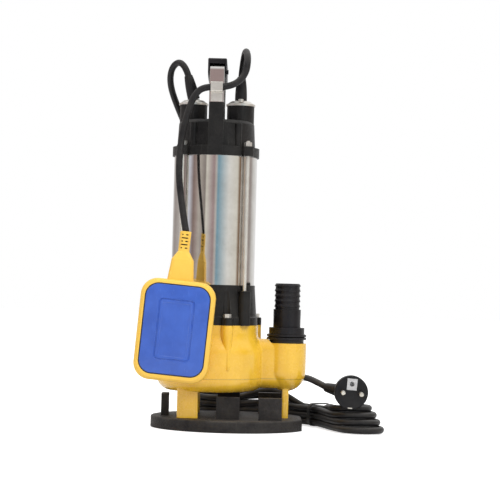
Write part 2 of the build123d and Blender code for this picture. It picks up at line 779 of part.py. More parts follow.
grip_screw_z = strap_top - 8.0
grip_screw_y = -(strap_front - 9.0)
with BuildPart() as handle_grip:
    with BuildSketch(Plane.YZ):
        with BuildLine():
            Spline((-strap_front, grip_side_bottom), (0, grip_belly), (strap_front, grip_side_bottom),
                   tangents=[(1, -0.5), (1, 0.5)])
            FilletPolyline((strap_front, grip_side_bottom), (strap_front, grip_top),
                           (-strap_front, grip_top), (-strap_front, grip_side_bottom), radius=2.0)
        make_face()
    extrude(amount=grip_width / 2, both=True)
    # The strap's slot, open at both ends so that the polished legs show.
    with BuildSketch(Plane.YZ):
        with Locations((0, strap_top - handle_steel - grip_clearance)):
            Rectangle(4 * strap_front, handle_steel + 2 * grip_clearance,
                      align=(Align.CENTER, Align.MIN))
        for side in (-1, 1):
            with Locations((side * (strap_front - handle_bend), grip_belly - 2)):
                Rectangle(3 * handle_bend, strap_top + grip_clearance - grip_belly + 2,
                          align=(Align.MIN if side > 0 else Align.MAX, Align.MIN))
    extrude(amount=handle_width / 2 + grip_clearance, both=True, mode=Mode.SUBTRACT)
    fillet(handle_grip.edges().filter_by(Axis.Y).group_by(Axis.Z)[-1], 1.2)
    with BuildSketch(Plane.YZ):
        with Locations((grip_screw_y, grip_screw_z)):
            Circle(1.3 + fit)
    extrude(amount=grip_width / 2, mode=Mode.SUBTRACT)
pieces["handle_grip"] = handle_grip

with BuildPart() as grip_screw:
    with BuildSketch(Plane.YZ.offset(grip_width / 2)):
        with Locations((grip_screw_y, grip_screw_z)):
            Circle(2.3)
    extrude(amount=1.8)
    with BuildSketch(Plane.YZ.offset(handle_width / 2 + 0.4)):
        with Locations((grip_screw_y, grip_screw_z)):
            Circle(1.3)
    extrude(amount=(grip_width - handle_width) / 2 - 0.4)
pieces["grip_screw"] = grip_screw

# Steel clip that holds the float's cord against the handle's front leg.
clip_width = 12.5
clip_steel = 1.2
clip_room = cord_radius + 0.4
pivot_y = -(strap_front + clip_room + 0.1)
pivot_z = boss_top + 15.0
clip_front = pivot_y - clip_room - clip_steel
clip_outline = [(-strap_front, boss_top + 0.5), (-strap_front, pivot_z - clip_room),
                (clip_front + clip_steel, pivot_z - clip_room),
                (clip_front + clip_steel, pivot_z + clip_room), (-strap_front, pivot_z + clip_room),
                (-strap_front, pivot_z + clip_room + clip_steel),
                (clip_front, pivot_z + clip_room + clip_steel),
                (clip_front, pivot_z - clip_room - clip_steel),
                (-strap_front - clip_steel, pivot_z - clip_room - clip_steel),
                (-strap_front - clip_steel, boss_top + 0.5)]

with BuildPart() as cable_clip:
    with BuildSketch(Plane.YZ):
        with BuildLine():
            Polyline(*clip_outline, close=True)
        make_face()
    extrude(amount=clip_width / 2, both=True)
    front_edges = cable_clip.edges().filter_by(Axis.X).group_by(Axis.Y)[0]
    fillet(front_edges, 1.0)
pieces["cable_clip"] = cable_clip

# --------------------------------------------------------------- cords and plug


def corner_radii(points):
    # Each corner is rounded by 0.45 of its shorter run.
    radii = []
    for before, corner, after in zip(points, points[1:], points[2:]):
        run_in = Vector(*corner) - Vector(*before)
        run_out = Vector(*after) - Vector(*corner)
        half_turn = radians(run_in.get_angle(run_out)) / 2
        radii.append(0.45 * min(run_in.length, run_out.length) / tan(half_turn))
    return radii


def cord_tube(label, points, ends):
    # A plain round cord along straight runs joined by tangent arcs. Each end plane
    # is the face that the cord comes out of, and its normal points along the cord.
    radii = corner_radii(points)
    with BuildPart() as cord:
        with BuildLine() as route:
            FilletPolyline(*points, radius=radii)
        with BuildSketch(Plane(route.line @ 0, z_dir=route.line % 0)):
            Circle(cord_radius)
        sweep(path=route.line)
        for face in ends:
            with BuildSketch(face):
                Circle(2 * cord_radius)
            extrude(amount=-2 * cord_radius, mode=Mode.SUBTRACT)
    length = route.wire().length
    expected = pi * cord_radius**2 * length
    print(label, "length", round(length, 1), "radii", [round(r, 1) for r in radii],
          "volume ratio", round(cord.part.volume / expected, 3))
    pieces[label] = cord
    return cord


# From the right boot up, over and down to the clip. The pivot of the float is at X 0.
joint_gap = 0.35
root_depth = 1.0            # a cord starts this far inside, then is cut at the face
cord_tube("float_cord_loop", [
    tuple(right_boot_tip.offset(-root_depth).origin),
    (26.0, 0.6, 386.5),
    (29.0, -23.0, 400.0),
    (32.0, -46.5, 387.0),
    (29.5, pivot_y - 0.2, 368.0),
    (14.5, pivot_y, pivot_z),
    (joint_gap, pivot_y, pivot_z),
], [right_boot_tip])

float_up = Vector(sin(radians(float_lean)), 0, cos(radians(float_lean)))
float_right = Vector(cos(radians(float_lean)), 0, -sin(radians(float_lean)))
float_origin = Vector(*float_centre)
neck_height = 21.0
shoulder_height = 8.5
relief_height = 20.5
relief_top = float_height / 2 + neck_height + shoulder_height + relief_height
relief_end = Plane(float_origin + float_up * relief_top, x_dir=float_right, z_dir=float_up)

cord_tube("float_cord_tail", [
    (0.0, pivot_y, pivot_z),
    (-13.0, pivot_y, pivot_z),
    (-23.0, pivot_y - 1.0, pivot_z - 8.5),
    (-30.0, pivot_y - 2.5, 327.0),
    (-35.5, pivot_y - 5.0, 300.0),
    (-37.0, pivot_y - 10.0, 266.0),
    (-32.5, pivot_y - 19.0, 233.0),
    tuple(relief_end.offset(-root_depth).origin),
], [relief_end])

hank_height = 21.6
hank_bottom = 1.6
hank_top = hank_bottom + hank_height
hank_round = 5.0

# Mains cord: over the left boot, down the back of the motor and into the hank.
cord_tube("power_cord_drop", [
    tuple(left_boot_tip.offset(-root_depth).origin),
    (-34.6, 0.8, 381.5),
    (-42.7, 9.0, 389.3),
    (-51.3, 18.0, 381.6),
    (-52.3, 28.0, 364.0),
    (-42.0, 43.0, 338.0),
    (-24.0, 57.0, 300.0),
    (-13.0, 62.0, 250.0),
    (-6.0, 64.0, 190.0),
    (0.0, 68.0, 135.0),
    (5.0, 84.0, 88.0),
    (8.0, 102.0, 52.0),
    (14.0, 110.0, hank_top - root_depth),
], [left_boot_tip, Plane((14.0, 110.0, hank_top + 0.1))])

# The hank's loops spread at both ends and are drawn together at the tie. Its outline goes
# round these circles, each an (x, y, radius).
hank_waist = 13.0
hank_circles = [(-6.0, 116.0, 24.5), (30.0, 115.0, 22.0), (74.0, 99.0, 18.0), (112.0, 62.0, hank_waist),
                (126.0, 38.0, hank_waist), (140.0, 10.0, 19.0), (160.0, -28.0, 24.5)]
with BuildPart() as power_cord_hank:
    with BuildSketch(Plane.XY.offset(hank_bottom)):
        for pair in zip(hank_circles, hank_circles[1:]):
            with BuildSketch(mode=Mode.PRIVATE) as span:
                for x, y, radius in pair:
                    with Locations((x, y)):
                        Circle(radius)
                make_hull()
            add(span.sketch)
    extrude(amount=hank_height)
    fillet(power_cord_hank.edges().group_by(Axis.Z)[0], hank_round)
    fillet(power_cord_hank.edges().group_by(Axis.Z)[-1], hank_round)
pieces["power_cord_hank"] = power_cord_hank

# The tie goes once round the hank's waist, square to it.
tie_width = 5.0
tie_steel = 1.2
tie_gap = 0.4
waist_start, waist_end = [Vector(x, y, hank_bottom + hank_height / 2) for x, y, radius in hank_circles[3:5]]
tie_plane = Plane((waist_start + waist_end) / 2, x_dir=(0, 0, 1), z_dir=waist_end - waist_start)
with BuildPart() as cable_tie:
    with BuildSketch(tie_plane):
        RectangleRounded(hank_height + 2 * (tie_gap + tie_steel),
                         2 * (hank_waist + tie_gap + tie_steel), hank_round + tie_gap + tie_steel)
        RectangleRounded(hank_height + 2 * tie_gap, 2 * (hank_waist + tie_gap), hank_round + tie_gap,
                         mode=Mode.SUBTRACT)
    extrude(amount=tie_width / 2, both=True)
pieces["cable_tie"] = cable_tie

# Round mains plug with a cord outlet on its back, standing on the hank.
plug_radius = 17.7
plug_depth = 13.0
plug_centre = Vector(148.6, -30.0, 42.0)
plug_turn = 4.0
pin_radius = 2.4
pin_spacing = 19.0
pin_length = 19.0
pin_spots = [(-pin_spacing / 2, 0), (pin_spacing / 2, 0)]
pin_neck_radius = 1.9
pin_neck_length = 1.0
pin_root_depth = 8.0
pin_tip_fillet = 1.0
earth_size = (10.5, 12.0)
plug_face = Plane(plug_centre, x_dir=(cos(radians(plug_turn)), 0, -sin(radians(plug_turn))),
                  z_dir=(0, -1, 0))
stub_start = Vector(139.5, -12.0, 42.0)
stub_way = Vector(-0.60, 0.79, 0.10).normalized()
stub_length = 25.0
stub_end = Plane(stub_start + stub_way * stub_length, z_dir=stub_way)

with BuildPart() as plug_body:
    with BuildSketch(plug_face):
        Circle(plug_radius)
    extrude(amount=-plug_depth)
    with BuildSketch(plug_face.offset(-plug_depth)):
        Circle(plug_radius)
    with BuildSketch(plug_face.offset(-plug_depth - 16)):
        Circle(plug_radius - 6)
    loft()
    fillet(plug_body.faces().sort_by(Axis.Y)[0].edges(), 1.2)
    with BuildSketch(Plane(stub_start, z_dir=stub_way)):
        Circle(7.5)
    with BuildSketch(stub_end):
        Circle(cord_radius + 1.4)
    loft()
    # Pin holes and the pocket of the earth contact.
    with BuildSketch(plug_face):
        with Locations(*pin_spots):
            Circle(pin_neck_radius + fit)
        with Locations((0, 8.6)):
            Rectangle(earth_size[0] + 2 * fit, earth_size[1] + 2 * fit)
    extrude(amount=-pin_root_depth, mode=Mode.SUBTRACT)
    with BuildSketch(plug_face):
        with Locations((0, -plug_radius + 1.4)):
            Rectangle(4.6 + 2 * fit, 1.2)
    extrude(amount=-4, mode=Mode.SUBTRACT)
pieces["plug_body"] = plug_body

# Each pin has a thinner neck, which is moulded into the plug and shows for a little way.
with BuildPart() as plug_pins:
    with BuildSketch(plug_face.offset(-pin_root_depth)):
        with Locations(*pin_spots):
            Circle(pin_neck_radius)
    extrude(amount=pin_root_depth + pin_neck_length)
    with BuildSketch(plug_face.offset(pin_neck_length)):
        with Locations(*pin_spots):
            Circle(pin_radius)
    extrude(amount=pin_length - pin_neck_length)
    fillet(plug_pins.faces().group_by(Axis.Y)[0].edges(), pin_tip_fillet)
pieces["plug_pins"] = plug_pins

with BuildPart() as plug_earth_contact:
    with BuildSketch(plug_face.offset(-pin_root_depth)):
        with Locations((0, 8.6)):
            Rectangle(*earth_size)
    extrude(amount=pin_root_depth + 0.4)
    with BuildSketch(plug_face.offset(0.4)):
        with Locations((0, 8.8)):
            Circle(2.5)
    extrude(amount=-6, mode=Mode.SUBTRACT)
pieces["plug_earth_contact"] = plug_earth_contact

with BuildPart() as plug_earth_clip:
    with BuildSketch(plug_face.offset(-4)):
        with Locations((0, -plug_radius + 1.4)):
            Rectangle(4.6, 1.1)
    extrude(amount=4.3)
pieces["plug_earth_clip"] = plug_earth_clip

cord_tube("power_cord_lead", [
    tuple(stub_end.offset(-root_depth).origin),
    (116.0, 20.0, 48.5),
    (103.0, 48.0, 53.0),
    (88.0, 76.0, 50.0),
    (72.0, 96.0, 38.0),
    (60.0, 104.0, hank_top - root_depth),
], [stub_end, Plane((60.0, 104.0, hank_top + 0.1))])

# ----------------------------------------------------------------- float switch
cover_width = 67.0
cover_height = 94.0
cover_corner = 13.5
cover_low = -0.5            # the cover sits a little below the middle
cover_seat = float_depth / 2 - 4.5
cover_raise = 2.6
cover_gap = 0.45
seal_width = 3.0
seal_thickness = 1.0
pocket_floor = -float_depth / 2 + float_wall
cover_spot = (0, cover_low)
float_face = Plane(float_origin, x_dir=float_right, z_dir=(0, -1, 0))


def float_level(height):
    # A plane across the float at this height above its middle.
    return Plane(float_origin + float_up * height, x_dir=float_right, z_dir=float_up)


with BuildPart() as float_body:
    with BuildSketch(float_face.offset(-float_depth / 2)):
        RectangleRounded(float_width, float_height, float_corner)
    extrude(amount=float_depth)
    fillet(float_body.faces().sort_by(Axis.Y)[0].edges(), 5.0)
    fillet(float_body.faces().sort_by(Axis.Y)[-1].edges(), 8.0)
    # Neck, shoulders and strain relief are moulded with the body.
    with BuildSketch(float_level(float_height / 2 - 4)):
        RectangleRounded(27.5, 22, 4)
    with BuildSketch(float_level(float_height / 2 + neck_height)):
        RectangleRounded(22.5, 17, 4)
    loft()
    with BuildSketch(float_level(float_height / 2 + neck_height)):
        RectangleRounded(22.5, 17, 4)
    with BuildSketch(float_level(float_height / 2 + neck_height + shoulder_height)):
        RectangleRounded(11.4, 11.4, 4)
    loft()
    with BuildSketch(float_level(float_height / 2 + neck_height + shoulder_height)):
        RectangleRounded(11.4, 11.4, 4)
    extrude(amount=relief_height)
    for row in range(5):
        slot_width = 7.4 if row % 2 else 3.2
        slot_z = relief_top - relief_height + 2.8 + 3.4 * row
        for face_y in (-1, 1):
            with BuildSketch(float_level(slot_z)):
                with Locations((0 if row % 2 else 2.4, face_y * 5.7)):
                    Rectangle(slot_width, 3.0)
                if row % 2 == 0:
                    with Locations((-2.9, face_y * 5.7)):
                        Rectangle(2.0, 3.0)
            extrude(amount=1.3, mode=Mode.SUBTRACT)
    with BuildSketch(float_face.offset(pocket_floor)):
        with Locations(cover_spot):
            RectangleRounded(cover_width - 2 * seal_width, cover_height - 2 * seal_width,
                             cover_corner - seal_width)
    extrude(amount=float_depth, mode=Mode.SUBTRACT)
    with BuildSketch(float_face.offset(cover_seat - seal_thickness)):
        with Locations(cover_spot):
            RectangleRounded(cover_width + 2 * cover_gap, cover_height + 2 * cover_gap,
                             cover_corner + cover_gap)
    extrude(amount=float_depth, mode=Mode.SUBTRACT)
pieces["float_body"] = float_body

with BuildPart() as float_seal:
    with BuildSketch(float_face.offset(cover_seat - seal_thickness)):
        with Locations(cover_spot):
            RectangleRounded(cover_width, cover_height, cover_corner)
            RectangleRounded(cover_width - 2 * seal_width, cover_height - 2 * seal_width,
                             cover_corner - seal_width, mode=Mode.SUBTRACT)
    extrude(amount=seal_thickness)
pieces["float_seal"] = float_seal

with BuildPart() as float_cover:
    with BuildSketch(float_face.offset(cover_seat)):
        with Locations(cover_spot):
            RectangleRounded(cover_width, cover_height, cover_corner)
    extrude(amount=float_depth / 2 - cover_seat + cover_raise)
    fillet(float_cover.faces().sort_by(Axis.Y)[0].edges(), 2.0)
    # A shallow groove frames the panel.
    with BuildSketch(float_face.offset(float_depth / 2 + cover_raise)):
        with Locations(cover_spot):
            RectangleRounded(cover_width - 11, cover_height - 11, cover_corner - 4)
            RectangleRounded(cover_width - 12.6, cover_height - 12.6, cover_corner - 4.8,
                             mode=Mode.SUBTRACT)
    extrude(amount=-0.8, mode=Mode.SUBTRACT)
pieces["float_cover"] = float_cover

# Inside the float a steel ball runs in a cage and lifts the lever of a microswitch.
ball_radius = 8.0
ball_travel = 8.0
cage_bottom = -33.0
ball_rest = cage_bottom + 3.0 + air_gap + ball_radius
cage_top = ball_rest + ball_radius
cage_half = 11.0
cage_axis_depth = pocket_floor + cage_half
lever_under = ball_rest + ball_radius + 0.6
lever_pivot_x = 22.0
lever_thickness = 1.2
lever_width = 5.0
lever_hub = 1.9
pivot_pin = 0.8
ball_centre = float_face.offset(cage_axis_depth).from_local_coords(Vector(0, ball_rest, 0))

with BuildPart() as ball_cage:
    with BuildSketch(float_face.offset(pocket_floor)):
        with Locations((0, (cage_bottom + cage_top) / 2)):
            Rectangle(2 * cage_half, cage_top - cage_bottom)
    extrude(amount=2 * cage_half)
    with BuildSketch(Plane(float_origin + float_up * (ball_rest - ball_radius - air_gap)
                           + Vector(0, -cage_axis_depth, 0), x_dir=float_right, z_dir=float_up)):
        Circle(ball_radius + air_gap)
    extrude(amount=cage_top - cage_bottom, mode=Mode.SUBTRACT)
pieces["ball_cage"] = ball_cage

with BuildPart() as switch_ball:
    with Locations(ball_centre):
        Sphere(ball_radius)
pieces["switch_ball"] = switch_ball

lever_face = float_face.offset(cage_axis_depth)
lever_middle = lever_under + lever_thickness / 2
with BuildPart() as switch_lever:
    with BuildSketch(lever_face):
        with Locations((lever_pivot_x, lever_middle)):
            Circle(lever_hub)
        with Locations((lever_pivot_x, lever_middle)):
            Rectangle(lever_pivot_x + 6, lever_thickness, align=(Align.MAX, Align.CENTER))
        with Locations((lever_pivot_x, lever_middle)):
            Circle(pivot_pin + running_gap, mode=Mode.SUBTRACT)
    extrude(amount=lever_width / 2, both=True)
pieces["switch_lever"] = switch_lever

switch_bottom = lever_middle + 12.5
with BuildPart() as microswitch:
    with BuildSketch(lever_face):
        with Locations((lever_pivot_x - 2, switch_bottom)):
            Rectangle(18, 12, align=(Align.CENTER, Align.MIN))
    extrude(amount=5, both=True)
    # Two ears hold the lever's pin, and a foot stands on the float's back wall.
    for side in (-1, 1):
        ear_inner = side * (lever_width / 2 + air_gap)
        with BuildSketch(lever_face.offset(ear_inner)):
            with Locations((lever_pivot_x, lever_middle - 2.5)):
                Rectangle(5, switch_bottom - lever_middle + 2.5, align=(Align.CENTER, Align.MIN))
        extrude(amount=side * (5 - lever_width / 2 - air_gap))
    with BuildSketch(lever_face):
        with Locations((lever_pivot_x, lever_middle)):
            Circle(pivot_pin)
    extrude(amount=5, both=True)
    with BuildSketch(float_face.offset(pocket_floor)):
        with Locations((lever_pivot_x - 2, switch_bottom + 4)):
            Rectangle(14, 7)
    extrude(amount=cage_axis_depth - 5 - pocket_floor)
pieces["microswitch"] = microswitch

# ---------------------------------------------------------------------- writing
for label, piece in pieces.items():
    piece.part.label = label
    export_step(piece.part, f"parts/{label}.step")
    print(label, len(piece.part.solids()), "solid(s)", round(piece.part.volume / 1000, 2), "cm3")
print("pivot of the float", round(pivot_y, 3), round(pivot_z, 3))
print("lever pivot", lever_face.from_local_coords(Vector(lever_pivot_x, lever_middle, 0)))
print("float up", float_up, "pieces", len(pieces))
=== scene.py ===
import json
import math
import bpy
import numpy as np
from mathutils import Matrix, Vector


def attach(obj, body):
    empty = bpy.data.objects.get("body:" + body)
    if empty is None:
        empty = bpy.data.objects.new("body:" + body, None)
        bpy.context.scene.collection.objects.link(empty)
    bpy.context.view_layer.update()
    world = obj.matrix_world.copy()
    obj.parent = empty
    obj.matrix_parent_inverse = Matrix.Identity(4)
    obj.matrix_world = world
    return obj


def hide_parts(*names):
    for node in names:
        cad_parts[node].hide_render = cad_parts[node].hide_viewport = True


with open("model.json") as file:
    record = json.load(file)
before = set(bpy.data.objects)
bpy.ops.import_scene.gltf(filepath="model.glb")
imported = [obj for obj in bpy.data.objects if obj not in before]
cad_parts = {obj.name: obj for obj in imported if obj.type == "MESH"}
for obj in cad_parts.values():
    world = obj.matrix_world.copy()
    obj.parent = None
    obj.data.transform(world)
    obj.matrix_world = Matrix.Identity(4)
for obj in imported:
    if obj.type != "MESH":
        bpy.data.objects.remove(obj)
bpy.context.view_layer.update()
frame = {"nodes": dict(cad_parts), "record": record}
nodes = frame["nodes"]
mm = 0.001
print("frame loaded:", len(nodes), "CAD nodes")

# The camera stands before the pump, nearly level with the lower half of the motor.
cameraLook = {"aimX": 0.0388, "distance": 1.84, "eye": 0.156, "pitch": 1.02, "roll": 1.5, "lens": 124.6}

studio = {"floorSize": 12.0, "floorDrop": 0.0003, "floorColor": (0.72, 0.72, 0.72, 1),
          "floorGlow": 0.6, "floorRough": 0.9, "skyStrength": 0.9, "backdrop": (1.0, 1.0, 1.0, 1),
          "bandTop": 0.3, "whiteFrom": 0.75, "aim": (0.02, 0, 0.2)}

softLights = {
    "keyLight": {"at": (1.3, -1.7, 1.8), "size": 1.0, "power": 34.0},
    "fillLight": {"at": (-1.7, -1.4, 1.1), "size": 1.8, "power": 12.0},
    "topLight": {"at": (0.1, 0.5, 2.2), "size": 1.8, "power": 24.0},
}

# What stands round the studio and shows in polished metal, by its direction in degrees from
# straight in front of the pump, positive towards +X. Colours blend from each to the next.
surroundings = [
    (-180, (0.95, 0.95, 0.95)), (-140, (0.42, 0.37, 0.35)), (-112, (0.62, 0.58, 0.56)),
    (-97, (0.20, 0.13, 0.11)), (-84, (0.55, 0.50, 0.50)), (-76, (0.80, 0.83, 0.93)),
    (-61, (0.28, 0.20, 0.18)), (-52, (0.45, 0.36, 0.33)), (-43, (0.60, 0.55, 0.50)),
    (-26, (0.30, 0.26, 0.24)), (-23, (0.86, 0.83, 0.74)), (-10, (0.55, 0.47, 0.46)),
    (-2, (0.42, 0.30, 0.30)), (4, (0.66, 0.62, 0.58)), (9, (0.22, 0.42, 0.54)),
    (40, (0.93, 0.93, 0.90)), (66, (0.86, 0.83, 0.74)), (72, (0.30, 0.20, 0.13)),
    (84, (0.16, 0.10, 0.07)), (88, (0.52, 0.42, 0.34)), (100, (0.62, 0.56, 0.52)),
    (118, (0.42, 0.37, 0.35)), (132, (0.80, 0.79, 0.77)), (150, (0.95, 0.95, 0.95)),
]


def placeCamera(look):
    data = bpy.data.cameras.new("pumpCamera")
    data.lens = look["lens"]
    data.sensor_width = 36.0
    data.clip_end = 50.0
    camera = bpy.data.objects.new("pumpCamera", data)
    turn = Matrix.Rotation(math.radians(90 + look["pitch"]), 4, "X") @ Matrix.Rotation(
        math.radians(look["roll"]), 4, "Z")
    camera.matrix_world = Matrix.Translation((look["aimX"], -look["distance"], look["eye"])) @ turn
    bpy.context.scene.collection.objects.link(camera)
    bpy.context.scene.camera = camera


def addNode(tree, kind, **settings):
    # A node with its settings. A setting that is no property of the node is one of its inputs.
    node = tree.nodes.new(kind)
    for name, value in settings.items():
        if hasattr(node, name):
            setattr(node, name, value)
        else:
            node.inputs[name.replace("_", " ")].default_value = value
    return node


def join(tree, *pairs):
    for source, target in pairs:
        tree.links.new(source, target)


def buildWorld(look, bands):
    # The camera sees a plain backdrop; all else is lit and mirrored by bands of colour that
    # go by azimuth = atan2(x, -y), and pass into plain white high up and low down.
    world = bpy.data.worlds.new("studioWorld")
    bpy.context.scene.world = world
    world.use_nodes = True
    tree = world.node_tree
    tree.nodes.clear()
    ray = addNode(tree, "ShaderNodeTexCoord")
    split = addNode(tree, "ShaderNodeSeparateXYZ")
    front = addNode(tree, "ShaderNodeMath", operation="MULTIPLY")
    front.inputs[1].default_value = -1.0
    azimuth = addNode(tree, "ShaderNodeMath", operation="ARCTAN2")
    share = addNode(tree, "ShaderNodeMath", operation="MULTIPLY_ADD")
    share.inputs[1].default_value = 0.5 / math.pi
    share.inputs[2].default_value = 0.5
    ramp = addNode(tree, "ShaderNodeValToRGB")
    stops = ramp.color_ramp.elements
    for index, (start, color) in enumerate(bands):
        position = (start + 180) / 360
        stop = stops[index] if index < 2 else stops.new(position)  # a ramp starts with two stops
        stop.position = position
        stop.color = (*color, 1)
    height = addNode(tree, "ShaderNodeMath", operation="ABSOLUTE")
    rise = addNode(tree, "ShaderNodeMapRange", From_Min=look["bandTop"], From_Max=look["whiteFrom"])
    room = addNode(tree, "ShaderNodeMix", data_type="RGBA")
    room.inputs[7].default_value = (1, 1, 1, 1)
    lit = addNode(tree, "ShaderNodeBackground", Strength=look["skyStrength"])
    seen = addNode(tree, "ShaderNodeBackground", Color=look["backdrop"])
    path = addNode(tree, "ShaderNodeLightPath")
    choose = addNode(tree, "ShaderNodeMixShader")
    leave = addNode(tree, "ShaderNodeOutputWorld")
    join(tree, (ray.outputs["Generated"], split.inputs[0]), (split.outputs["Y"], front.inputs[0]),
         (split.outputs["X"], azimuth.inputs[0]), (front.outputs[0], azimuth.inputs[1]),
         (azimuth.outputs[0], share.inputs[0]), (share.outputs[0], ramp.inputs["Fac"]),
         (split.outputs["Z"], height.inputs[0]), (height.outputs[0], rise.inputs["Value"]),
         (rise.outputs["Result"], room.inputs[0]), (ramp.outputs["Color"], room.inputs[6]),
         (room.outputs[2], lit.inputs["Color"]), (path.outputs["Is Camera Ray"], choose.inputs["Fac"]),
         (lit.outputs[0], choose.inputs[1]), (seen.outputs[0], choose.inputs[2]),
         (choose.outputs[0], leave.inputs["Surface"]))


def addSoftLight(name, look, aim):
    data = bpy.data.lights.new(name, "AREA")
    data.shape = "DISK"
    data.size = look["size"]
    data.energy = look["power"]
    lamp = bpy.data.objects.new(name, data)
    lamp.location = look["at"]
    lamp.rotation_euler = (Vector(aim) - Vector(look["at"])).to_track_quat("-Z", "Y").to_euler()
    lamp.visible_glossy = False  # polished metal mirrors the surroundings only
    bpy.context.scene.collection.objects.link(lamp)


def addPiece(name, data, material):
    # An object of this mesh or curve, with its material, at the origin.
    data.materials.append(material)
    piece = bpy.data.objects.new(name, data)
    bpy.context.scene.collection.objects.link(piece)
    return piece


def buildFloor(look):
    half = look["floorSize"] / 2
    low = -look["floorDrop"]
    mesh = bpy.data.meshes.new("floor")
    mesh.from_pydata([(-half, -half, low), (half, -half, low), (half, half, low), (-half, half, low)],
                     [], [(0, 1, 2, 3)])
    material = bpy.data.materials.new("floorPaper")
    material.use_nodes = True
    shader = material.node_tree.nodes["Principled BSDF"]
    shader.inputs["Base Color"].default_value = look["floorColor"]
    shader.inputs["Roughness"].default_value = look["floorRough"]
    shader.inputs["Emission Color"].default_value = (1, 1, 1, 1)
    # The paper glows for the camera only, so that metal mirrors it no brighter than it is lit.
    path = addNode(material.node_tree, "ShaderNodeLightPath")
    glow = addNode(material.node_tree, "ShaderNodeMath", operation="MULTIPLY")
    glow.inputs[1].default_value = look["floorGlow"]
    join(material.node_tree, (path.outputs["Is Camera Ray"], glow.inputs[0]),
         (glow.outputs[0], shader.inputs["Emission Strength"]))
    addPiece("floor", mesh, material)


bpy.context.scene.view_settings.view_transform = "Standard"
placeCamera(cameraLook)
buildWorld(studio, surroundings)
for lampName, lampLook in softLights.items():
    addSoftLight(lampName, lampLook, studio["aim"])
buildFloor(studio)
print("camera and studio ready")


def socketGroup(name, inputs, outputs):
    # An empty node group with these sockets; a number makes a float socket, None a vector.
    tree = bpy.data.node_groups.new(name, "ShaderNodeTree")
    for socketName, value in inputs.items():
        kind = "NodeSocketVector" if value is None else "NodeSocketFloat"
        socket = tree.interface.new_socket(socketName, in_out="INPUT", socket_type=kind)
        if value is not None:
            socket.default_value = value
    for socketName, kind in outputs.items():
        tree.interface.new_socket(socketName, in_out="OUTPUT", socket_type="NodeSocket" + kind)
    return tree, addNode(tree, "NodeGroupInput"), addNode(tree, "NodeGroupOutput")


def buildGrain():
    # Two sizes of noise, a coarse one and one five times finer, summed as value and as relief.
    tree, start, end = socketGroup("grain", {"Vector": None, "Scale": 300.0, "Strength": 0.2,
                                             "Distance": 0.0005}, {"Value": "Float", "Normal": "Vector"})
    coarse = addNode(tree, "ShaderNodeTexNoise", Detail=3.0, Roughness=0.55)
    finer = addNode(tree, "ShaderNodeMath", operation="MULTIPLY")
    finer.inputs[1].default_value = 5.0
    fine = addNode(tree, "ShaderNodeTexNoise", Detail=2.0, Roughness=0.6)
    blend = addNode(tree, "ShaderNodeMix", data_type="FLOAT")
    blend.inputs[0].default_value = 0.4
    bump = addNode(tree, "ShaderNodeBump")
    join(tree, (start.outputs["Vector"], coarse.inputs["Vector"]),
         (start.outputs["Scale"], coarse.inputs["Scale"]),
         (start.outputs["Scale"], finer.inputs[0]), (start.outputs["Vector"], fine.inputs["Vector"]),
         (finer.outputs[0], fine.inputs["Scale"]), (coarse.outputs[0], blend.inputs[2]),
         (fine.outputs[0], blend.inputs[3]), (blend.outputs[0], end.inputs["Value"]),
         (start.outputs["Strength"], bump.inputs["Strength"]),
         (start.outputs["Distance"], bump.inputs["Distance"]),
         (blend.outputs[0], bump.inputs["Height"]), (bump.outputs[0], end.inputs["Normal"]))
    return tree


def buildEdgeWear():
    # Where the rounded normal leaves the true one an edge is near; noise breaks the mask up.
    tree, start, end = socketGroup("edgeWear", {"Vector": None, "Radius": 0.0008, "Amount": 0.5,
                                                "Scale": 120.0}, {"Mask": "Float"})
    rounded = addNode(tree, "ShaderNodeBevel", samples=4)
    true = addNode(tree, "ShaderNodeNewGeometry")
    dot = addNode(tree, "ShaderNodeVectorMath", operation="DOT_PRODUCT")
    edge = addNode(tree, "ShaderNodeMapRange", From_Min=0.995, From_Max=0.90)
    noise = addNode(tree, "ShaderNodeTexNoise", Detail=4.0)
    patch = addNode(tree, "ShaderNodeMapRange", From_Min=0.42, From_Max=0.62)
    both = addNode(tree, "ShaderNodeMath", operation="MULTIPLY")
    level = addNode(tree, "ShaderNodeMath", operation="MULTIPLY")
    join(tree, (start.outputs["Radius"], rounded.inputs["Radius"]), (rounded.outputs[0], dot.inputs[0]),
         (true.outputs["Normal"], dot.inputs[1]), (dot.outputs["Value"], edge.inputs["Value"]),
         (start.outputs["Vector"], noise.inputs["Vector"]), (start.outputs["Scale"], noise.inputs["Scale"]),
         (noise.outputs[0], patch.inputs["Value"]), (edge.outputs[0], both.inputs[0]),
         (patch.outputs[0], both.inputs[1]), (both.outputs[0], level.inputs[0]),
         (start.outputs["Amount"], level.inputs[1]), (level.outputs[0], end.inputs["Mask"]))
    return tree


